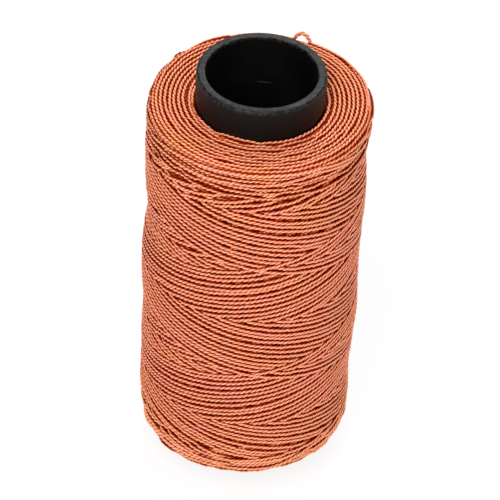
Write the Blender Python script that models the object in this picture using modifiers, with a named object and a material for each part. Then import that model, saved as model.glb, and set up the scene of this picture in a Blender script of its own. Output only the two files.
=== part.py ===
"""Spool of waxed thread: a black plastic winding tube with thread cross-wound on it.

Frame: metres, +Z along the tube's axis, origin at the centre of the tube's lower rim, so that the
spool stands on z = 0. The thread is one continuous length. Its inner layers are one plain body,
and its outer layer is wound over that body as a single tube: arcs across the upper end face, a
slack bight at the edge, then passes down and up the side. The passes up lie on the body, and the
passes down cross over them.
"""

import math

import bpy
from mathutils import Vector

# Winding tube
TUBE_BORE_D = 0.0258
TUBE_WALL = 0.0021
TUBE_LENGTH = 0.1133
RIM_ROUND = 0.0007  # outer edge of each rim
BORE_ROUND = 0.0003  # inner edge of each rim

# Thread, and the package wound from it, which sits midway along the tube
THREAD_D = 0.0010
PACKAGE_D = 0.0518
PACKAGE_LENGTH = 0.0973
SHOULDER = 0.0020  # how far below the end face a pass turns back
BODY_ROUND = 0.0008  # edges of the inner layers

# Clearances
SEAT_GAP = 0.0003  # between solids that rest on each other
TURN_GAP = 0.00045  # between neighbouring passes of the thread

# Outer layer of the winding, in counts
LOOP_POINTS = 24
MOST_FACE_TURNS = 5  # arcs on the upper end face
PASSES = 6  # along the side, down and up in turn
CELLS = 17  # from one end of a pass to the other, each as long as from crossing to crossing
REVERSAL_POINTS = 2  # half the arc over which a pass turns back
CLIMB_POINTS = 3.4  # half the arc over which it changes level there
END_CELLS = 1.5  # how far before its last reversal the thread ends
END_BEND = 0.0008  # bend into each straight end
EDGE_ANGLE = math.radians(120)  # where the thread leaves the end face for the side

# Slack bight on the last arc of the end face
BIGHT_ANGLE = math.radians(67.5)
BIGHT_RISE = 0.0030
BIGHT_SPAN = 0.0072
BIGHT_CREST = 0.44  # where along its span it is highest
BIGHT_POINTS = 12

ROUND_STEPS = 72
CORNER_STEPS = 3

# Sizes that follow from those above
bore_r = TUBE_BORE_D / 2
tube_r = bore_r + TUBE_WALL
thread_r = THREAD_D / 2
package_bottom = (TUBE_LENGTH - PACKAGE_LENGTH) / 2
package_top = package_bottom + PACKAGE_LENGTH
flat = math.cos(math.pi / LOOP_POINTS)  # how far a loop's chords come in from its points
over_r = PACKAGE_D / 2 - thread_r
under_r = over_r - (THREAD_D + TURN_GAP) / flat
body_r = under_r * flat - thread_r - SEAT_GAP
face_z = package_top - thread_r
body_top = face_z - thread_r - SEAT_GAP
bend_r = tube_r + SEAT_GAP + THREAD_D + END_BEND
face_r = bend_r / flat
end_r = body_r + SEAT_GAP + THREAD_D + END_BEND

cell = 1 / PASSES  # in turns, as are the next five
point = 1 / LOOP_POINTS
pass_turns = CELLS * cell
reversal_half = REVERSAL_POINTS * point
climb_half = CLIMB_POINTS * point
face_room = (under_r - face_r) * flat / (THREAD_D + TURN_GAP)
face_turns = math.floor(min(MOST_FACE_TURNS, face_room) / point) * point

turn_top = package_top - SHOULDER
turn_bottom = package_bottom + thread_r
lead = (turn_top - turn_bottom) / (pass_turns - reversal_half)
low = turn_bottom - lead * reversal_half / 2
high = turn_top + lead * reversal_half / 2
edge_turn = face_turns + 1e-9
reversals = [edge_turn + (face_z - low) / lead + i * pass_turns for i in range(PASSES)]
# Crossings fall on points of the loops, so the first reversal is moved on to the next point.
shift = math.ceil(reversals[0] / point) * point - reversals[0]
reversals = [turn + shift for turn in reversals]
edge_turn += shift
end_turn = reversals[-1] - END_CELLS * cell


def corner(centre_r, centre_z, radius, start, end):
    """Points of a rounded edge in the (radius, z) plane, from one direction in degrees to another."""
    angles = [
        math.radians(start + (end - start) * i / CORNER_STEPS)
        for i in range(CORNER_STEPS + 1)
    ]
    return [
        (centre_r + radius * math.cos(a), centre_z + radius * math.sin(a))
        for a in angles
    ]


def ring_profile(inner_r, outer_r, bottom, top, inner_round, outer_round):
    """A ring's section with rounded edges, from the top of its outer side down and round."""
    return (
        corner(outer_r - outer_round, top - outer_round, outer_round, 90, 0)
        + corner(outer_r - outer_round, bottom + outer_round, outer_round, 0, -90)
        + corner(inner_r + inner_round, bottom + inner_round, inner_round, -90, -180)
        + corner(inner_r + inner_round, top - inner_round, inner_round, 180, 90)
    )


def turned(name, profile, material, collection):
    """A closed profile of (radius, z) points, listed down its outer side, turned about Z."""
    mesh = bpy.data.meshes.new(name)
    count = len(profile)
    mesh.from_pydata(
        [(r, 0.0, z) for r, z in profile],
        [(i, (i + 1) % count) for i in range(count)],
        [],
    )
    piece = bpy.data.objects.new(name, mesh)
    collection.objects.link(piece)
    screw = piece.modifiers.new("turn", "SCREW")
    screw.axis = "Z"
    screw.angle = 2 * math.pi
    screw.steps = screw.render_steps = ROUND_STEPS
    screw.use_merge_vertices = True
    screw.merge_threshold = 1e-6
    screw.use_smooth_shade = True
    mesh.materials.append(material)
    return piece


def nearest_reversal(turn):
    """Number of the nearest reversal, and the turns to it. Even ones are at the bottom."""
    number = min(range(PASSES), key=lambda i: abs(turn - reversals[i]))
    return number, turn - reversals[number]


def wound_height(turn):
    """Height of the thread's centre: level on the end face, then steady passes that turn back smoothly."""
    if turn < edge_turn - reversal_half:
        return face_z
    if turn < edge_turn + reversal_half:
        return face_z - lead * (turn - edge_turn + reversal_half) ** 2 / (4 * reversal_half)
    number, away = nearest_reversal(turn)
    away = abs(away)
    if away < reversal_half:
        away = (away * away + reversal_half * reversal_half) / (2 * reversal_half)
    return low + lead * away if number % 2 == 0 else high - lead * away


def ease(start, end, turn):
    """Smooth change from 0 at start to 1 at end."""
    share = min(1.0, max(0.0, (turn - start) / (end - start)))
    return share * share * (3 - 2 * share)


def wound_radius(turn):
    """Radius of the thread's centre: out along the end face, then down over the passes up."""
    if turn < edge_turn:
        return face_r + (under_r - face_r) * turn / edge_turn
    if turn > end_turn - point:
        return under_r + (end_r - under_r) * (turn - end_turn + point) / point
    number, away = nearest_reversal(turn)
    over = ease(-climb_half, climb_half, away)
    if number % 2 == 0:
        over = min(1 - over, ease(edge_turn, edge_turn + climb_half, turn))
    return under_r + (over_r - under_r) * over


def polar(radius, angle, z):
    return Vector((radius * math.cos(angle), radius * math.sin(angle), z))


def angle_at(turn):
    return EDGE_ANGLE + 2 * math.pi * (turn - face_turns)


def point_at(turn, lift=0.0):
    return polar(wound_radius(turn), angle_at(turn), wound_height(turn) + lift)


def bend(start, along, towards):
    """Points of a quarter bend that leaves start along one direction and ends towards another."""
    return [
        start + END_BEND * (math.sin(a) * along + (1 - math.cos(a)) * towards)
        for a in (math.pi / 6, math.pi / 3, math.pi / 2)
    ]


def bight(from_turn, to_turn):
    """Points of the slack bight, which stands up from the last arc of the end face."""
    warp = math.log(0.5) / math.log(BIGHT_CREST)
    shares = [k / BIGHT_POINTS for k in range(BIGHT_POINTS + 1)]
    return [
        point_at(
            from_turn + (to_turn - from_turn) * share,
            BIGHT_RISE * math.sin(math.pi * share**warp) ** 2,
        )
        for share in shares
    ]


def winding_route():
    """Centre line of the outer layer. Both ends run straight, the first from the tube's wall and the last into the body."""
    outward, sideways = polar(1, angle_at(0), 0), polar(1, angle_at(0) + math.pi / 2, 0)
    wall = polar(tube_r + SEAT_GAP, angle_at(0), face_z)
    route = [wall, wall + THREAD_D * outward]
    route += bend(route[-1], outward, sideways)

    middle = face_turns - ((EDGE_ANGLE - BIGHT_ANGLE) / (2 * math.pi)) % 1
    half = BIGHT_SPAN / 2 / (2 * math.pi * wound_radius(middle))
    last = round(end_turn / point)
    turns = [i * point for i in range(1, last + 1)]
    route += [point_at(turn) for turn in turns if turn < middle - half - point / 3]
    route += bight(middle - half, middle + half)
    route += [point_at(turn) for turn in turns if turn > middle + half + point / 3]

    along = route[-1] - route[-2]
    inward = -polar(1, angle_at(last * point), 0)
    along = (along - along.dot(inward) * inward).normalized()
    route += bend(route[-1], along, inward)
    tip = route[-1]
    radius = math.hypot(tip.x, tip.y)
    seat = (body_r + SEAT_GAP) / radius
    route.append(Vector((tip.x * seat, tip.y * seat, tip.z)))
    return route


def least_gap(route, diameter, splits=8, skip=4):
    """Least gap between two stretches of a thread, measured on points split finely along it.

    Points nearer than skip diameters along the thread are neighbours and don't count.
    """
    points, lengths = [route[0]], [0.0]
    for a, b in zip(route, route[1:]):
        for k in range(1, splits + 1):
            points.append(a.lerp(b, k / splits))
            lengths.append(lengths[-1] + (b - a).length / splits)
    size = 4 * diameter
    boxes = {}
    for i, p in enumerate(points):
        boxes.setdefault(tuple(math.floor(c / size) for c in p), []).append(i)
    steps = (-1, 0, 1)
    best = math.inf
    for (x, y, z), here in boxes.items():
        near = [
            j
            for dx in steps
            for dy in steps
            for dz in steps
            for j in boxes.get((x + dx, y + dy, z + dz), ())
        ]
        for i in here:
            for j in near:
                if lengths[j] - lengths[i] > skip * diameter:
                    best = min(best, (points[i] - points[j]).length)
    return best - diameter


def thread_tube(name, route, diameter, material, collection):
    """One unbroken round tube along a route, with filled ends."""
    curve = bpy.data.curves.new(name, "CURVE")
    curve.dimensions = "3D"
    curve.bevel_depth = diameter / 2
    curve.bevel_resolution = 1
    curve.use_fill_caps = True
    curve.twist_mode = "MINIMUM"
    spline = curve.splines.new("POLY")
    spline.points.add(len(route) - 1)
    for knot, place in zip(spline.points, route):
        knot.co = (*place, 1.0)
    curve.materials.append(material)
    piece = bpy.data.objects.new(name, curve)
    collection.objects.link(piece)
    return piece


def plain_material(name, colour, roughness):
    material = bpy.data.materials.new(name)
    material.use_nodes = True
    shader = material.node_tree.nodes["Principled BSDF"]
    shader.inputs["Base Color"].default_value = (*colour, 1.0)
    shader.inputs["Roughness"].default_value = roughness
    shader.inputs["Metallic"].default_value = 0.0
    material.diffuse_color = (*colour, 1.0)
    return material


def main():
    for old in list(bpy.data.objects):
        bpy.data.objects.remove(old, do_unlink=True)
    collection = bpy.data.collections.new("waxed_thread_spool")
    bpy.context.scene.collection.children.link(collection)

    black = plain_material("black_plastic", (0.012, 0.011, 0.011), 0.42)
    thread = plain_material("waxed_thread", (0.69, 0.21, 0.105), 0.46)

    turned(
        "core_tube",
        ring_profile(bore_r, tube_r, 0.0, TUBE_LENGTH, BORE_ROUND, RIM_ROUND),
        black,
        collection,
    )
    turned(
        "wound_thread_inner",
        ring_profile(
            tube_r + SEAT_GAP,
            body_r,
            package_bottom,
            body_top,
            BORE_ROUND,
            BODY_ROUND,
        ),
        thread,
        collection,
    )
    route = winding_route()
    thread_tube("wound_thread_outer", route, THREAD_D, thread, collection)
    print(f"outer layer: {end_turn:.1f} loops, {len(route)} points")
    print(f"rise of a pass: {lead * 1000:.1f} mm a turn")
    print(f"least gap of the thread to itself: {least_gap(route, THREAD_D) * 1000:.2f} mm")


main()
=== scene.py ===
"""Spool of waxed thread, dressed for the render.

The tube is turned again with finer steps. The thread is laid strand by strand, oldest
first, on a map of heights that covers the package: each strand rests on the ones below
it, as it does on the real package. Lengths are in metres, and angles in turns from the
front (-Y), growing towards +X.
"""

import math

import bpy
import numpy as np
from mathutils import Matrix, Vector


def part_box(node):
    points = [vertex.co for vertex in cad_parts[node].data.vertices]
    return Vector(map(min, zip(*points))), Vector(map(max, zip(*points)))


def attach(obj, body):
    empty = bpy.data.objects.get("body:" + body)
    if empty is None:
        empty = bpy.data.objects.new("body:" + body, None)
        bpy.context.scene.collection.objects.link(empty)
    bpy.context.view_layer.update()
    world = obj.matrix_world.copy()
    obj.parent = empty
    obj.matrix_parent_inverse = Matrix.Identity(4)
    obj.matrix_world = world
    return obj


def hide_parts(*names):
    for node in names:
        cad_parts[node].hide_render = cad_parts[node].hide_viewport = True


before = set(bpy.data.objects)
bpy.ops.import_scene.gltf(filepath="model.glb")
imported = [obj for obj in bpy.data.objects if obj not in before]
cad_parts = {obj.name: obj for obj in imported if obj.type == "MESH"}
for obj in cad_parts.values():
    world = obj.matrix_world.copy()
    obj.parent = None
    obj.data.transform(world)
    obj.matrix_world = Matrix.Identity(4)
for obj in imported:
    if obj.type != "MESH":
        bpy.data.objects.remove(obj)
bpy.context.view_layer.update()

# Thread
THREAD_D = 0.00100
PLIES = 3
PLY_POINTS = 4  # points of the section on each ply
PLY_GROOVE = 0.38  # depth of the groove between plies, as a share of the radius
FLATTENED = 1.12  # width of the section over its height
PLY_LAY = 0.0038  # length of thread in which a ply goes round once
STEP = 4  # columns of the map from one point of a strand's mesh to the next
BIGHT_STEP = 3
MESH_POINTS = 7000  # points along the strand in each mesh of the outer layer

# Outer layer: one path of double strokes, each up and down the side
LEAD = 0.0336  # climb in one turn
STROKES = 24
FIRST_TURN = -1.01339  # where the first upward stroke starts
TOP_SHARP = 0.1092  # where the strokes would meet if they turned back sharply
BOTTOM_SHARP = 0.0091
TOP_EASE = 0.42  # turns before and after the reversal in which a stroke bends back
BOTTOM_EASE = 0.15
TOP_STRAY = (-0.0009, 0.0009)  # how far a reversal strays from its place
BOTTOM_STRAY = (-0.0010, 0.0004)
TOP_STRAY_TURNS = 1.1 * TOP_EASE  # over which a stray reversal comes back to its stroke
BOTTOM_STRAY_TURNS = 1.5 * BOTTOM_EASE
WANDER = 0.00028  # how far a strand strays sideways
WANDER_KNOTS = 260  # columns between the points at which it may turn
FINE_WANDER = 0.00009  # the same over a ply or two
FINE_KNOTS = 11
NEWEST = 2  # double strokes that are laid after the last spirals

# Spirals of the older layers across the end faces
SPIRAL_PITCHES = (0.00112, 0.00104)
SPIRAL_WANDER = 0.00007
SPIRAL_KNOTS = 100
SPIRAL_PAST_CORNER = 0.0012  # how far down the side they go on
SPREAD_TURNS = 2.0  # turns at its end in which the upper last one spreads
SPREAD = 0.0003  # how much further it goes, per turn squared
LAST_SPIRAL_START = 0.0066  # how far in from the corner the last ones start
UPPER_LAST_END = 0.0062  # how far down the side they go on
LOWER_LAST_END = 0.0024
DIP_EVERY = (0.03, 0.16)  # turns from one place where a strand dips to the next
DIP_LENGTH = 0.014  # turns
DIP_DEPTH = 0.00042

# Slack bight at the back right, on an arc whose ends dive under the others
BIGHT_TURN = (68.1 + 90) / 360
BIGHT_SPAN = 0.0043
BIGHT_ROUND = 0.62  # the lower, the rounder its top and the steeper its legs
BIGHT_RISE = 0.0024
BIGHT_CREST = 0.50  # where along its span it is highest
BIGHT_ARC = 0.40  # turns of the arc that it stands on
BIGHT_KNOTS = 200
BIGHT_INSIDE = 0.0016  # past the start of the upper corner
DIVE = 0.05  # turns in which a strand's end dives
DIVE_DEPTH = 0.0012

# Package
CORNER = 0.0022  # radius of its edges
THREAD_OVER_BODY = 0.0013  # from the inner ring's top to the package's

# Swells and hollows of the package: turn, height, and amount
SWELLS = (
    (-0.25, 0.091, 0.00025),
    (-0.25, 0.0740, -0.00078),
    (-0.25, 0.062, 0.00030),
    (-0.25, 0.053, 0.00030),
    (-0.25, 0.042, -0.00020),
    (-0.25, 0.022, 0.00005),
    (-0.25, 0.009, -0.00055),
    (0.25, 0.093, -0.00070),
    (0.25, 0.083, -0.00005),
    (0.25, 0.061, -0.00030),
    (0.25, 0.045, 0.00050),
    (0.25, 0.025, -0.00025),
    (0.25, 0.008, -0.00022),
    (0.335, 0.1090, 0.00125),
    (-0.12, 0.0055, 0.00095),
    (-0.36, 0.1090, 0.00035),
    (0.17, 0.0055, 0.00065),
)
SWELL_WIDTH = 0.12  # turns
SWELL_HEIGHT = 0.0055
SWELL_RIPPLE = 0.00008
RIPPLE_LENGTH = 0.021
RIPPLE_TURNS = 2  # ripples by which a ripple climbs in one turn

SEED = 7  # of everything that strays at random

# Map of heights
COLUMNS = 1600  # round the package
CELL = 0.0001  # along its outline
SPARE_CELLS = 24
CHUNK = COLUMNS // 2  # columns that are laid at a time
LAP = 160  # columns on either side that are worked out with them
BRIDGE = 7  # columns on either side over which a taut strand bridges a hollow
SOFTEN = 7.0  # columns over which it bends
SLIPS = np.arange(-5, 6) * 0.00025  # how far a strand may slip sideways
SLIP_COST = 0.25  # least fall, as a share of the slip, for which it slips
SLIP_LOOK = 40  # columns on either side over which the fall is judged
SLIP_REACH = 120  # columns on either side over which a slip is eased
SLIP_ZONE = 0.009  # from each edge, in which strands slip
LEVEL_BLUR = (45, 8)  # columns and cells over which the package evens out

# How deep the strands lie once the package has evened out
CREST_OVER_MEAN = 0.0003  # from the mean height of the map to its crests
HIGHEST = 0.00018  # to which strands that lie higher are pressed down
DEEPEST = 0.0019
EMBEDDED = 0.72  # share left of a strand's depth, because strands press into each other
LOWEST = 0.00075  # to which strands that lie deeper are raised
LAST_LOWEST = 0.00035  # the same for the last spirals
UNDERLAY_DEPTH = 0.00165
UNDERLAY_STEP = 0.0005
UNDERLAY_ROUND = 180  # steps round it
UNDERLAY_GAP = 0.00002  # to the tube

# Painted light and shade on the thread's surface, from 0, painted shade between the strands, to
# 1 on their crests
LIT = (0.36, 0.80)  # cosines of the angle from a strand's crest between which it rises
UPPER_LIT = (0.55, 0.91)  # the same for the spirals
LOWER_LIT = (0.05, 0.60)
TOP_PAINTED_LIGHT = (0.70, 0.30)  # of a strand's top: in its grooves, and how much more on its plies
SIDE_PAINTED_LIGHT = 0.22  # of the plies on its sides
DEEP_PAINTED_LIGHT = (0.1, 0.9)  # share left of a strand at its deepest, and the rest
FREE_PAINTED_LIGHT = (0.60, 0.35)  # all round a free strand: in its grooves, and more on its plies
DIM_FROM = 0.00030  # depth from which a strand is dimmed by its neighbours
DIM_OVER = 0.00065  # further depth in which the dimming is full
SPIRAL_DIM_OVER = 0.0007
FREE_FROM = 0.0008  # lift from which a strand is free of its neighbours

# Looks of the thread
# From painted shade in dark red-brown at 0, between the strands and in their grooves, to the
# salmon of the lit crests at 1
THREAD_COLOURS = (
    (0.0, (0.09, 0.0, 0.0)),
    (0.37, (0.21, 0.003, 0.0)),
    (0.70, (0.60, 0.128, 0.033)),
    (1.0, (0.98, 0.47, 0.315)),
)
THREAD_TINTS = ((0.30, (0.94, 0.975, 0.77)), (0.70, (1.0, 0.95, 0.97)))  # in patches
# Painted light: a tint by height, redder along the middle of the side, as by warm light bounced
# between the strands, and more golden towards both ends
GOLDEN = (1.0, 0.985, 0.97)
SALMON = (1.0, 0.925, 1.0)
THREAD_LIGHT_DRIFT = ((0.13, GOLDEN), (0.20, SALMON), (0.79, SALMON), (0.88, GOLDEN))
FIBRE_CONTRAST = 0.30
# Painted shade: the underlay is coloured dark red-brown as the shade in the gaps between
# strands
UNDERLAY_SHADE_COLOURS = ((0.3, (0.16, 0.010, 0.001)), (0.7, (0.38, 0.060, 0.015)))

# Tube
TUBE_BORE_D = 0.0258
TUBE_ROUND = 240  # steps round it
RIM_ROUND = 0.0007
BORE_ROUND = 0.0003
TUBE_COLOURS = ((0.3, (0.0016, 0.0014, 0.0014)), (0.7, (0.0036, 0.0030, 0.0028)))
RIM_SCUFF = 0.0012  # how far down the outside the rim is scuffed
SCUFF_COLOUR = (0.021, 0.020, 0.019, 1)
NICKS_FROM_BORE = (0.00032, 0.00012)  # where the nicks of the inner edge start and are full
NICKS_FROM_TOP = (0.0005, 0.0002)
NICK_COLOUR = (0.08, 0.08, 0.08, 1)
BORE_MARK = (0.0006, 0.0129, 0.1002)
BORE_MARK_SIZE = (0.0021, 0.0021, 0.00024)
BORE_MARK_COLOUR = (0.024, 0.024, 0.024, 1)

# Studio
FLOOR_REACH = 6.0
FLOOR_COLOUR = (0.92, 0.92, 0.92, 1)
FLOOR_WHITE = 0.85  # share of plain white in what is seen of the floor
WORLD_STRENGTH = 0.40
LAMP_AIM = (0, 0, 0.055)
LAMPS = (  # name, place, diameter, power
    ("key", (-0.18, -0.62, 0.90), 0.8, 11),
    ("fill", (0.7, -0.4, 0.5), 0.6, 1.2),
    ("back", (0.1, 0.7, 0.8), 0.6, 5),
)

# Camera, fitted to the photograph
TILT = 0.7289  # down from level
ROLL = 0.0586
DISTANCE = 0.670
AIM = (-0.000367, 0, 0.05885)
FOCAL_PIXELS = 2788
PICTURE = 500  # its width and height in pixels
SENSOR_WIDTH = 36  # mm

rng = np.random.default_rng(SEED)

tube_low, tube_high = (Vector(v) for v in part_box("core_tube"))
body_low, body_high = (Vector(v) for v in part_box("wound_thread_inner"))
_, wound_high = (Vector(v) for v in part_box("wound_thread_outer"))
tube_r = tube_high.x
package_r = wound_high.x
package_bottom = body_low.z
package_top = body_high.z + THREAD_OVER_BODY
thread_r = THREAD_D / 2
side_low = package_bottom + CORNER
side_high = package_top - CORNER
quarter = CORNER * math.pi / 2
face_width = package_r - CORNER - tube_r
s_low = side_low - quarter - face_width
s_high = side_high + quarter + face_width
heights = np.zeros((COLUMNS, int((s_high - s_low) / CELL) + SPARE_CELLS))


# ---------------------------------------------------------------- the package's outline


def meridian(s):
    """Radius, height, and outward and upward parts of the normal at s.

    s is z along the side, and runs on over both corners and inwards across the end faces.
    """
    up = s > (side_low + side_high) / 2
    beyond = np.maximum(np.where(up, s - side_high, side_low - s), 0)
    bend = np.minimum(beyond / CORNER, math.pi / 2)
    inward = np.maximum(beyond - quarter, 0)
    sign = np.where(up, 1, -1)
    out, rise = np.cos(bend), np.sin(bend)
    r = package_r - CORNER * (1 - out) - inward
    edge = np.where(up, side_high, side_low)
    z = np.where(beyond > 0, edge + sign * CORNER * rise, s)
    return r, z, out, sign * rise


def bulge(turns, s):
    """How far the package swells or sinks from its plain outline."""
    ripples = s / RIPPLE_LENGTH + RIPPLE_TURNS * turns
    swell = SWELL_RIPPLE * np.sin(2 * math.pi * ripples)
    for turn, place, amount in SWELLS:
        across = (turns - turn + 0.5) % 1 - 0.5
        away = (across / SWELL_WIDTH) ** 2 + ((s - place) / SWELL_HEIGHT) ** 2
        swell = swell + amount * np.exp(-away)
    return swell


# ---------------------------------------------------------------- laying strands on the map


def wander(count, knot_every, size):
    """A value that strays smoothly along a path."""
    knots = rng.uniform(-size, size, count // knot_every + 3)
    at = np.arange(count) / knot_every
    knot = at.astype(int)
    share = at - knot
    share = share * share * (3 - 2 * share)
    return knots[knot] * (1 - share) + knots[knot + 1] * share


def footprint(s):
    """Cells under a strand at s, and how far its round underside rises over each."""
    reach = int(thread_r / CELL) + 1
    first = np.floor((s - s_low) / CELL).astype(int) - reach
    cells = first[:, None] + np.arange(2 * reach + 2)
    cells = np.clip(cells, 0, heights.shape[1] - 1)
    gap = s_low + cells * CELL - s[:, None]
    return cells, np.sqrt(np.maximum(thread_r**2 - gap**2, 0))


def soften(values):
    """Level of a taut strand, which bridges hollows and bends smoothly over crests."""
    padded = np.pad(values, BRIDGE, mode="edge")
    highest = np.lib.stride_tricks.sliding_window_view(padded, 2 * BRIDGE + 1).max(1)
    reach = int(3 * SOFTEN)
    kernel = np.exp(-0.5 * (np.arange(-reach, reach + 1) / SOFTEN) ** 2)
    padded = np.pad(highest, reach, mode="edge")
    return np.convolve(padded, kernel / kernel.sum(), "valid")


def contact(column, s):
    """Level at which the strand's centre would rest on what lies below."""
    cells, rise = footprint(s)
    return np.where(rise > 0, heights[column[:, None], cells] + rise, 0).max(1)


def smooth(values, reach):
    blur = np.hanning(2 * reach + 1)
    padded = np.pad(values, reach, mode="edge")
    return np.convolve(padded, blur / blur.sum(), "valid")


def slip(column, s):
    """Strand moved sideways to where it lies lower, near the edges and on the end faces."""
    rest = np.stack([smooth(contact(column, s + move), SLIP_LOOK) for move in SLIPS])
    cost = rest + SLIP_COST * np.abs(SLIPS)[:, None]
    move = smooth(SLIPS[cost.argmin(0)], SLIP_REACH)
    edge = np.maximum(s - side_high, side_low - s) / SLIP_ZONE + 1
    moved = s + move * np.clip(2 * edge, 0, 1)
    return np.clip(moved, s_low + thread_r, s_high - thread_r)


def lay(first_column, s, slips=True):
    """Lays a strand, with one point for each column from the first.

    Gives its s once it has slipped, and the level of its centre.
    """
    count = len(s)
    planned = s + wander(count, FINE_KNOTS, FINE_WANDER if slips else SPIRAL_WANDER)
    s = planned.copy()
    column = (first_column + np.arange(count)) % COLUMNS
    level = np.zeros(count)
    settled = 0
    for start in range(0, count, CHUNK):
        low, high = max(start - LAP, 0), min(start + CHUNK + LAP, count)
        stop = min(start + CHUNK, count)
        slipped = planned[low:high]
        if slips:
            slipped = slip(column[low:high], slipped)
        rest = soften(contact(column[low:high], slipped))
        s[start:stop] = slipped[start - low : stop - low]
        level[start:stop] = rest[start - low : stop - low]
        ready = stop if stop == count else stop - LAP
        cells, rise = footprint(s[settled:ready])
        where = (column[settled:ready, None], cells)
        top = np.where(rise > 0, level[settled:ready, None] + rise, 0)
        np.maximum.at(heights, where, top)
        settled = ready
    return s, level


def dips(count):
    """Depth of the places along a path where the strand goes down between its neighbours."""
    depth = np.zeros(count)
    turn = rng.uniform(*DIP_EVERY)
    while turn * COLUMNS < count:
        away = (np.arange(count) / COLUMNS - turn) / DIP_LENGTH
        depth = np.maximum(depth, DIP_DEPTH * np.exp(-(away**2)))
        turn += rng.uniform(*DIP_EVERY)
    return depth


def dives(count):
    """Depth of a path's two ends, which dive under the other strands."""
    ends = np.minimum(np.arange(count), np.arange(count)[::-1])
    return DIVE_DEPTH * np.clip(1 - ends / (DIVE * COLUMNS), 0, 1) ** 2


def face_spiral(end, pitch, start, past, spread=0.0):
    """First column, s and level of one spiral over an end face.

    It runs from start, measured in from the corner, to past the corner on the side. end is 1
    for the upper face and -1 for the lower one.
    """
    edge = side_high if end > 0 else side_low
    start = min(start + quarter, face_width + quarter - thread_r)
    count = int((start + past) / pitch * COLUMNS)
    first = int(rng.uniform(0, COLUMNS))
    turns = np.arange(count) / COLUMNS
    last = np.maximum(turns - turns[-1] + SPREAD_TURNS, 0)
    inside = start - pitch * turns - spread * last**2
    inside = np.minimum(inside + wander(count, SPIRAL_KNOTS, SPIRAL_WANDER), start)
    s, level = lay(first, edge + end * inside, slips=False)
    return first, s, level - dips(count) - dives(count)


def outer_path():
    """First column and s of the outer layer: double strokes that turn back at both edges."""
    double = 2 * (TOP_SHARP - BOTTOM_SHARP) / LEAD
    half = double / 2
    turn = np.arange(int(STROKES * double * COLUMNS)) / COLUMNS
    from_top = turn % double - half
    from_bottom = (turn % double + half) % double - half
    s = np.where(
        from_top < 0, BOTTOM_SHARP + LEAD * (turn % double), TOP_SHARP - LEAD * from_top
    )
    near = np.abs(from_top) < TOP_EASE
    eased = (from_top[near] ** 2 + TOP_EASE**2) / (2 * TOP_EASE)
    s[near] = TOP_SHARP - LEAD * eased
    near = np.abs(from_bottom) < BOTTOM_EASE
    eased = (from_bottom[near] ** 2 + BOTTOM_EASE**2) / (2 * BOTTOM_EASE)
    s[near] = BOTTOM_SHARP + LEAD * eased
    stray = rng.uniform(*TOP_STRAY, STROKES + 1)[(turn / double).astype(int)]
    s += stray * np.exp(-((from_top / TOP_STRAY_TURNS) ** 2))
    stray = rng.uniform(*BOTTOM_STRAY, STROKES + 2)[(turn / double + 0.5).astype(int)]
    s += stray * np.exp(-((from_bottom / BOTTOM_STRAY_TURNS) ** 2))
    s += wander(len(s), WANDER_KNOTS, WANDER)
    return round(FIRST_TURN * COLUMNS) % COLUMNS, s


def bight_arc():
    """First column, s, level and lift of the arc that stands up in the slack bight."""
    count = int(BIGHT_ARC * COLUMNS)
    first = int((BIGHT_TURN - BIGHT_ARC / 2) * COLUMNS)
    s = side_high + BIGHT_INSIDE + wander(count, BIGHT_KNOTS, SPIRAL_WANDER)
    s, level = lay(first, s)
    along = (np.arange(count) / COLUMNS - BIGHT_ARC / 2) * 2 * math.pi * package_r
    share = np.clip(0.5 - along / BIGHT_SPAN, 0, 1)
    warp = math.log(0.5) / math.log(BIGHT_CREST)
    lift = BIGHT_RISE * np.sin(math.pi * share**warp) ** BIGHT_ROUND
    return first, s, level - dives(count), lift


def evened(values):
    """The map of heights, blurred round the package and along its outline."""
    margin = 3 * LEVEL_BLUR[1]
    padded = np.pad(values, ((0, 0), (margin, margin)), mode="edge")
    for axis, blur in enumerate(LEVEL_BLUR):
        wave = np.fft.fftfreq(padded.shape[axis])
        damp = np.exp(-2 * (math.pi * wave * blur) ** 2)
        damp = damp[:, None] if axis == 0 else damp[None]
        padded = np.fft.ifft(np.fft.fft(padded, axis=axis) * damp, axis=axis).real
    return padded[:, margin:-margin]


# ---------------------------------------------------------------- meshes


def finish_mesh(name, points, faces, material, painted_light=None):
    """Object of points and of arrays of faces, each array with faces of one size."""
    mesh = bpy.data.meshes.new(name)
    mesh.vertices.add(len(points))
    mesh.vertices.foreach_set("co", np.asarray(points, np.float32).ravel())
    corners = np.concatenate([f.ravel() for f in faces])
    sizes = np.concatenate([np.full(len(f), f.shape[1]) for f in faces])
    mesh.loops.add(len(corners))
    mesh.loops.foreach_set("vertex_index", corners.astype(np.int32))
    mesh.polygons.add(len(sizes))
    starts = np.concatenate([[0], np.cumsum(sizes)[:-1]])
    mesh.polygons.foreach_set("loop_start", starts.astype(np.int32))
    mesh.update(calc_edges=True)
    mesh.polygons.foreach_set("use_smooth", np.ones(len(sizes), bool))
    # Painted light and shade of the thread, kept on its points
    if painted_light is not None:
        layer = mesh.attributes.new("painted_light", "FLOAT", "POINT")
        layer.data.foreach_set("value", np.asarray(painted_light, np.float32))
    mesh.validate()
    mesh.materials.append(material)
    obj = bpy.data.objects.new(name, mesh)
    bpy.context.scene.collection.objects.link(obj)
    return obj


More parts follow.
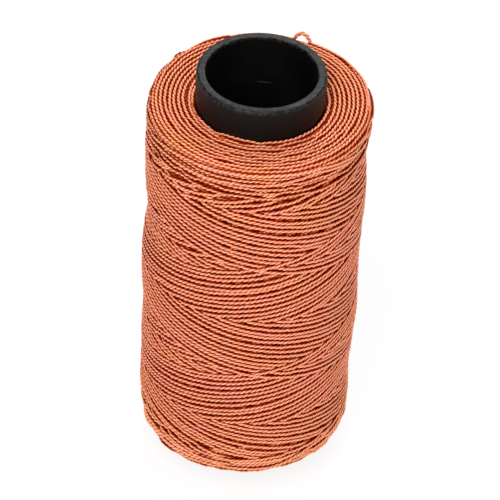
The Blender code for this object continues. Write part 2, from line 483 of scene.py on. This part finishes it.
def strand_points(first, s, level, lift=None, step=STEP, lowest=LOWEST):
    """Centre line of a laid strand, its outward normals, how deep it lies and how free."""
    picked = np.unique(np.append(np.arange(0, len(s), step), len(s) - 1))
    turns = (first + picked) / COLUMNS
    s, level = s[picked], level[picked]
    r, z, out, up = meridian(s)
    column = (first + picked) % COLUMNS
    cell = ((s - s_low) / CELL).astype(int)
    depth = np.maximum(level + thread_r - ground[column, cell], -DEEPEST)
    depth = np.where(
        depth > 0,
        HIGHEST * np.tanh(depth / HIGHEST),
        lowest * np.tanh(EMBEDDED * depth / lowest),
    )
    off = depth - thread_r + bulge(turns, s)
    angle = 2 * math.pi * turns - math.pi / 2
    radius = r + out * off
    height = z + up * off
    free = np.zeros(len(picked))
    if lift is not None:
        height = height + lift[picked]
        free = np.clip(lift[picked] / FREE_FROM, 0, 1)
    around = np.stack([np.cos(angle), np.sin(angle)], 1)
    centre = np.column_stack([radius[:, None] * around, height])
    normal = np.column_stack([out[:, None] * around, up])
    return centre, normal, depth, free


def strand_mesh(centre, normal, depth, free, phase, dim_over, lit):
    """Points, faces and painted light and shade of a strand, and the phase of its twist at the
    far end.
    """
    count = len(centre)
    tangent = np.gradient(centre, axis=0)
    tangent /= np.linalg.norm(tangent, axis=1, keepdims=True)
    side = np.cross(tangent, normal)
    side /= np.linalg.norm(side, axis=1, keepdims=True)
    out = np.cross(side, tangent)
    steps = np.linalg.norm(np.diff(centre, axis=0), axis=1)
    length = np.concatenate([[0], np.cumsum(steps)])
    around = PLIES * PLY_POINTS
    crest = np.abs(np.cos(math.pi * np.arange(around) / PLY_POINTS))
    ring_r = thread_r * (1 - PLY_GROOVE * (1 - crest))
    angle = 2 * math.pi * np.arange(around)[None] / around
    angle = angle + phase - 2 * math.pi * length[:, None] / PLY_LAY
    points = centre[:, None] + ring_r[None, :, None] * (
        np.cos(angle)[..., None] * out[:, None]
        + FLATTENED * np.sin(angle)[..., None] * side[:, None]
    )
    # Painted shade: darker on a strand's flanks, in the grooves on its sides, and the deeper it
    # lies among its neighbours; a free strand is painted lit all round
    facing = np.clip((np.cos(angle) - lit[0]) / (lit[1] - lit[0]), 0, 1)
    deep = np.clip(1 + (depth + DIM_FROM) / dim_over, 0, 1)[:, None]
    on_top = facing * (TOP_PAINTED_LIGHT[0] + TOP_PAINTED_LIGHT[1] * crest[None])
    on_side = SIDE_PAINTED_LIGHT * (1 - facing) * crest[None] ** 2
    painted_light = (on_top + on_side) * (DEEP_PAINTED_LIGHT[0] + DEEP_PAINTED_LIGHT[1] * deep)
    all_round = FREE_PAINTED_LIGHT[0] + FREE_PAINTED_LIGHT[1] * crest[None]
    painted_light += free[:, None] * (all_round - painted_light)
    i = np.arange(count - 1)[:, None] * around
    j = np.arange(around)[None]
    k = (j + 1) % around
    walls = np.stack([i + j, i + k, i + k + around, i + j + around], -1).reshape(-1, 4)
    caps = np.array([np.arange(around)[::-1], np.arange(around) + (count - 1) * around])
    end_phase = phase - 2 * math.pi * length[-1] / PLY_LAY
    return points.reshape(-1, 3), [walls, caps], painted_light.ravel(), end_phase


def lathe(name, outline, steps, material):
    """Closed ring turned from (r, z) points."""
    outline = np.array(outline)
    angle = 2 * math.pi * np.arange(steps) / steps
    count = len(outline)
    x = np.outer(np.cos(angle), outline[:, 0])
    y = np.outer(np.sin(angle), outline[:, 0])
    z = np.tile(outline[:, 1], (steps, 1))
    points = np.stack([x, y, z], -1).reshape(-1, 3)
    i = np.arange(steps)[:, None]
    j = np.arange(count)[None]
    a, b = i * count + j, ((i + 1) % steps) * count + j
    c, d = ((i + 1) % steps) * count + (j + 1) % count, i * count + (j + 1) % count
    walls = np.stack([a, b, c, d], -1).reshape(-1, 4)
    return finish_mesh(name, points, [walls], material)


def corner(r, z, radius, start, end, steps=8):
    """Arc about (r, z), angles in degrees."""
    angles = [math.radians(start + (end - start) * k / steps) for k in range(steps + 1)]
    return [(r + radius * math.cos(a), z + radius * math.sin(a)) for a in angles]


# ---------------------------------------------------------------- nodes of the materials


def new_material(name):
    """A material, its node tree, and the inputs of its shader."""
    material = bpy.data.materials.new(name)
    material.use_nodes = True
    tree = material.node_tree
    return material, tree, tree.nodes["Principled BSDF"].inputs


def add(tree, kind, **values):
    node = tree.nodes.new(kind)
    for key, value in values.items():
        setattr(node, key, value)
    return node


def put(tree, value, socket):
    """Gives a socket its value, which is the output of a node or a plain value."""
    if isinstance(value, bpy.types.NodeSocket):
        tree.links.new(value, socket)
    else:
        socket.default_value = value


def calculate(tree, operation, *values):
    node = add(tree, "ShaderNodeMath", operation=operation)
    for value, socket in zip(values, node.inputs):
        put(tree, value, socket)
    return node.outputs["Value"]


def calculate_vector(tree, operation, *values):
    node = add(tree, "ShaderNodeVectorMath", operation=operation)
    for value, socket in zip(values, node.inputs):
        put(tree, value, socket)
    return node.outputs["Value" if operation == "LENGTH" else "Vector"]


def split(tree, vector):
    """The x, y and z of a vector."""
    node = add(tree, "ShaderNodeSeparateXYZ")
    tree.links.new(vector, node.inputs["Vector"])
    return node.outputs["X"], node.outputs["Y"], node.outputs["Z"]


def object_place(tree):
    return add(tree, "ShaderNodeTexCoord").outputs["Object"]


def cloud(tree, place, scale, detail=2.0):
    """Noise from 0 to 1."""
    node = add(tree, "ShaderNodeTexNoise")
    node.inputs["Scale"].default_value = scale
    node.inputs["Detail"].default_value = detail
    tree.links.new(place, node.inputs["Vector"])
    return node.outputs["Fac"]


def slope(tree, value, zero_at, one_at, interpolation="SMOOTHSTEP"):
    """0 where the value is at zero_at or beyond, 1 at one_at or beyond."""
    node = add(tree, "ShaderNodeMapRange", interpolation_type=interpolation)
    rising = zero_at < one_at
    node.inputs["From Min"].default_value = min(zero_at, one_at)
    node.inputs["From Max"].default_value = max(zero_at, one_at)
    node.inputs["To Min"].default_value = 0.0 if rising else 1.0
    node.inputs["To Max"].default_value = 1.0 if rising else 0.0
    tree.links.new(value, node.inputs["Value"])
    return node.outputs["Result"]


def ramp(tree, value, stops):
    """Colour for a value from 0 to 1, out of stops that give a value and its colour."""
    node = add(tree, "ShaderNodeValToRGB")
    elements = node.color_ramp.elements
    for at, _ in stops[2:]:
        elements.new(at)
    for element, (at, colour) in zip(elements, stops):
        element.position = at
        element.color = (*colour, 1)
    tree.links.new(value, node.inputs["Fac"])
    return node.outputs["Color"]


def grey_ramp(tree, value, low, high):
    """Grey from low at 0.3 to high at 0.7."""
    return ramp(tree, value, ((0.3, (low,) * 3), (0.7, (high,) * 3)))


def mix(tree, factor, first, second, blend_type="MIX"):
    node = add(tree, "ShaderNodeMix", data_type="RGBA", blend_type=blend_type)
    for value, name in ((factor, "Factor"), (first, "A"), (second, "B")):
        put(tree, value, node.inputs[name])
    return node.outputs["Result"]


def bump(tree, shader, height, strength, distance):
    node = add(tree, "ShaderNodeBump")
    node.inputs["Strength"].default_value = strength
    node.inputs["Distance"].default_value = distance
    tree.links.new(height, node.inputs["Height"])
    tree.links.new(node.outputs["Normal"], shader["Normal"])


# ---------------------------------------------------------------- materials


def thread_material():
    """Waxed thread, salmon, with painted shade in red-brown in the grooves and between strands.

    A painted tint of light makes it redder along the middle of the side and more golden towards
    both ends of the package.
    """
    material, tree, shader = new_material("waxed_thread")
    place = object_place(tree)
    # Painted light and shade, from the mesh: dark between the strands and in the grooves, light
    # on the crests
    painted_light = add(tree, "ShaderNodeAttribute", attribute_name="painted_light").outputs["Fac"]
    fibres = cloud(tree, place, scale=3200, detail=3)
    shade = calculate(tree, "MULTIPLY_ADD", fibres, FIBRE_CONTRAST, painted_light)
    shade = calculate(tree, "SUBTRACT", shade, FIBRE_CONTRAST / 2)
    colour = ramp(tree, shade, THREAD_COLOURS)
    tint = ramp(tree, cloud(tree, place, scale=110), THREAD_TINTS)
    colour = mix(tree, 1.0, colour, tint, "MULTIPLY")
    # Painted light: redder along the middle of the side, more golden towards both ends
    height = calculate(tree, "DIVIDE", split(tree, place)[2], tube_high.z)
    light_drift = ramp(tree, height, THREAD_LIGHT_DRIFT)
    colour = mix(tree, 1.0, colour, light_drift, "MULTIPLY")
    tree.links.new(colour, shader["Base Color"])
    roughness = grey_ramp(tree, fibres, low=0.38, high=0.56)
    tree.links.new(roughness, shader["Roughness"])
    bump(tree, shader, fibres, strength=0.35, distance=0.00004)
    shader["Specular IOR Level"].default_value = 0.08
    return material


def underlay_material():
    """Older thread seen only through gaps, painted dark red-brown as their shade, with the
    grain of strands.
    """
    material, tree, shader = new_material("thread_underlay")
    grain = cloud(tree, object_place(tree), scale=900)
    tree.links.new(ramp(tree, grain, UNDERLAY_SHADE_COLOURS), shader["Base Color"])
    bump(tree, shader, grain, strength=0.5, distance=0.0002)
    shader["Roughness"].default_value = 0.8
    shader["Specular IOR Level"].default_value = 0.1
    return material


def rim_wear(tree, place):
    """Scuffs on the upper rim and a little way down its outside: 1 where it is pale."""
    height = split(tree, place)[2]
    top = tube_high.z
    near_top = slope(tree, height, top - RIM_SCUFF, top - RIM_SCUFF / 3)
    grain = cloud(tree, place, scale=1100, detail=3)
    scuffs = slope(tree, grain, zero_at=0.42, one_at=0.62)
    return calculate(tree, "MULTIPLY", near_top, scuffs)


def edge_wear(tree, place):
    """Nicks along the inner edge of the upper rim: 1 where the plastic is pale."""
    x, y, z = split(tree, place)
    flat = add(tree, "ShaderNodeCombineXYZ")
    put(tree, x, flat.inputs["X"])
    put(tree, y, flat.inputs["Y"])
    radius = calculate_vector(tree, "LENGTH", flat.outputs["Vector"])
    start, full = (TUBE_BORE_D / 2 + away for away in NICKS_FROM_BORE)
    near_bore = slope(tree, radius, start, full, "LINEAR")
    start, full = (tube_high.z - away for away in NICKS_FROM_TOP)
    near_top = slope(tree, z, start, full, "LINEAR")
    grain = cloud(tree, place, scale=900)
    nicks = slope(tree, grain, zero_at=0.60, one_at=0.66, interpolation="LINEAR")
    edge = calculate(tree, "MULTIPLY", near_bore, near_top)
    return calculate(tree, "MULTIPLY", edge, nicks)


def bore_mark(tree, place):
    """One faint pale dash across the far side of the bore."""
    offset = calculate_vector(tree, "SUBTRACT", place, BORE_MARK)
    scaled = calculate_vector(tree, "DIVIDE", offset, BORE_MARK_SIZE)
    away = calculate_vector(tree, "LENGTH", scaled)
    return slope(tree, away, zero_at=1.0, one_at=0.7)


def tube_material():
    """Satin black plastic with a faint moulded grain, worn at its upper rim."""
    material, tree, shader = new_material("tube_black_plastic")
    place = object_place(tree)
    smears = cloud(tree, place, scale=90)
    colour = ramp(tree, smears, TUBE_COLOURS)
    colour = mix(tree, edge_wear(tree, place), colour, NICK_COLOUR)
    colour = mix(tree, rim_wear(tree, place), colour, SCUFF_COLOUR)
    colour = mix(tree, bore_mark(tree, place), colour, BORE_MARK_COLOUR)
    tree.links.new(colour, shader["Base Color"])
    roughness = grey_ramp(tree, smears, low=0.40, high=0.52)
    tree.links.new(roughness, shader["Roughness"])
    grain = cloud(tree, place, scale=1400, detail=4)
    bump(tree, shader, grain, strength=0.25, distance=0.00005)
    shader["Specular IOR Level"].default_value = 0.17
    return material


def floor_material():
    """White to the camera and to reflections, but with enough of the floor for its shadow."""
    material, tree, shader = new_material("studio_floor")
    shader["Base Color"].default_value = FLOOR_COLOUR
    shader["Roughness"].default_value = 0.9
    white = add(tree, "ShaderNodeEmission")
    white.inputs["Strength"].default_value = 1.0
    path = add(tree, "ShaderNodeLightPath").outputs
    seen = calculate(tree, "MAXIMUM", path["Is Camera Ray"], path["Is Glossy Ray"])
    seen = calculate(tree, "MAXIMUM", seen, path["Is Transmission Ray"])
    share = calculate(tree, "MULTIPLY", seen, FLOOR_WHITE)
    both = add(tree, "ShaderNodeMixShader")
    tree.links.new(share, both.inputs["Fac"])
    tree.links.new(tree.nodes["Principled BSDF"].outputs["BSDF"], both.inputs[1])
    tree.links.new(white.outputs["Emission"], both.inputs[2])
    output = tree.nodes["Material Output"]
    tree.links.new(both.outputs["Shader"], output.inputs["Surface"])
    return material


# ---------------------------------------------------------------- pieces


def make_tube():
    bore_r = TUBE_BORE_D / 2
    low, high = tube_low.z, tube_high.z
    outline = corner(tube_r - RIM_ROUND, low + RIM_ROUND, RIM_ROUND, -90, 0)
    outline += corner(tube_r - RIM_ROUND, high - RIM_ROUND, RIM_ROUND, 0, 90)
    outline += corner(bore_r + BORE_ROUND, high - BORE_ROUND, BORE_ROUND, 90, 180)
    outline += corner(bore_r + BORE_ROUND, low + BORE_ROUND, BORE_ROUND, 180, 270)
    tube = lathe("winding_tube", outline, TUBE_ROUND, tube_material())
    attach(tube, "root")
    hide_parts("core_tube")


def make_underlay():
    """The wound body under the strands that are laid one by one."""
    r, z, out, up = meridian(np.arange(s_low, s_high, UNDERLAY_STEP))
    outline = np.column_stack([r - out * UNDERLAY_DEPTH, z - up * UNDERLAY_DEPTH])
    inner = tube_r + UNDERLAY_GAP
    outline = [(inner, outline[0, 1])] + [tuple(p) for p in outline if p[0] > inner]
    outline.append((inner, outline[-1][1]))
    body = lathe("thread_underlay", outline, UNDERLAY_ROUND, underlay_material())
    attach(body, "root")
    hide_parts("wound_thread_inner")


def make_strand(name, strand, material, phase=0.0, dim_over=DIM_OVER, lit=LIT):
    """A length of thread as one piece. Gives the phase of its twist at the far end."""
    points, faces, painted_light, end_phase = strand_mesh(*strand, phase, dim_over, lit)
    piece = finish_mesh(name, points, faces, material, painted_light)
    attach(piece, "root")
    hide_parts("wound_thread_outer")
    return end_phase


def make_strands():
    material = thread_material()
    for name, spiral in spirals.items():
        lowest = LAST_LOWEST if name.endswith("last") else LOWEST
        lit = UPPER_LIT if name.startswith("thread_upper") else LOWER_LIT
        strand = strand_points(*spiral, lowest=lowest)
        make_strand(name, strand, material, dim_over=SPIRAL_DIM_OVER, lit=lit)
    make_strand("thread_bight", strand_points(*bight, step=BIGHT_STEP), material)
    strand = strand_points(*outer)
    phase = 0.0
    starts = range(0, len(strand[0]) - 1, MESH_POINTS)
    for number, start in enumerate(starts, 1):
        part = [values[start : start + MESH_POINTS + 1] for values in strand]
        phase = make_strand(f"thread_outer_{number:02}", part, material, phase)


# ---------------------------------------------------------------- studio and camera


def make_floor():
    mesh = bpy.data.meshes.new("studio_floor")
    corners = [(-1, -1), (1, -1), (1, 1), (-1, 1)]
    points = [(x * FLOOR_REACH, y * FLOOR_REACH, 0) for x, y in corners]
    mesh.from_pydata(points, [], [(0, 1, 2, 3)])
    mesh.materials.append(floor_material())
    floor = bpy.data.objects.new("studio_floor", mesh)
    bpy.context.scene.collection.objects.link(floor)


def make_world():
    world = bpy.data.worlds.new("studio")
    world.use_nodes = True
    background = world.node_tree.nodes["Background"]
    background.inputs["Color"].default_value = (1, 1, 1, 1)
    background.inputs["Strength"].default_value = WORLD_STRENGTH
    bpy.context.scene.world = world


def make_lamp(name, place, size, power):
    data = bpy.data.lights.new(name, "AREA")
    data.shape = "DISK"
    data.size = size
    data.energy = power
    lamp = bpy.data.objects.new(name, data)
    lamp.location = place
    aim = Vector(LAMP_AIM) - Vector(place)
    lamp.rotation_euler = aim.to_track_quat("-Z", "Y").to_euler()
    bpy.context.scene.collection.objects.link(lamp)


def make_camera():
    forward = Vector((0, math.cos(TILT), -math.sin(TILT)))
    right = Vector((1, 0, 0))
    up = right.cross(forward)
    x = math.cos(ROLL) * right + math.sin(ROLL) * up
    y = -math.sin(ROLL) * right + math.cos(ROLL) * up
    data = bpy.data.cameras.new("camera")
    data.sensor_width = SENSOR_WIDTH
    data.lens = FOCAL_PIXELS / PICTURE * data.sensor_width
    data.clip_start, data.clip_end = 0.01, 20
    camera = bpy.data.objects.new("camera", data)
    place = Vector(AIM) - forward * DISTANCE
    camera.matrix_world = Matrix.Translation(place) @ Matrix(
        ((x.x, y.x, -forward.x), (x.y, y.y, -forward.y), (x.z, y.z, -forward.z))
    ).to_4x4()
    bpy.context.scene.collection.objects.link(camera)
    bpy.context.scene.camera = camera


# ---------------------------------------------------------------- the scene

bpy.context.scene.view_settings.view_transform = "Standard"
make_camera()

# The strands are laid in the order in which they were wound
spirals = {
    f"thread_{name}_end_{layer}": face_spiral(end, pitch, face_width, SPIRAL_PAST_CORNER)
    for name, end in (("upper", 1), ("lower", -1))
    for layer, pitch in enumerate(SPIRAL_PITCHES, 1)
}
outer_first, outer_s = outer_path()
older = len(outer_s) * (STROKES - NEWEST) // STROKES
laid = [lay(outer_first, outer_s[:older])]
for name, end, past, spread in (
    ("upper", 1, UPPER_LAST_END, SPREAD),
    ("lower", -1, LOWER_LAST_END, 0.0),
):
    spirals[f"thread_{name}_end_last"] = face_spiral(
        end, SPIRAL_PITCHES[-1], LAST_SPIRAL_START, past, spread
    )
laid.append(lay(outer_first + older, outer_s[older:]))
outer = (outer_first, *(np.concatenate(parts) for parts in zip(*laid)))
bight = bight_arc()
ground = evened(heights) + CREST_OVER_MEAN

make_tube()
make_underlay()
make_strands()
make_floor()
make_world()
for lamp in LAMPS:
    make_lamp(*lamp)
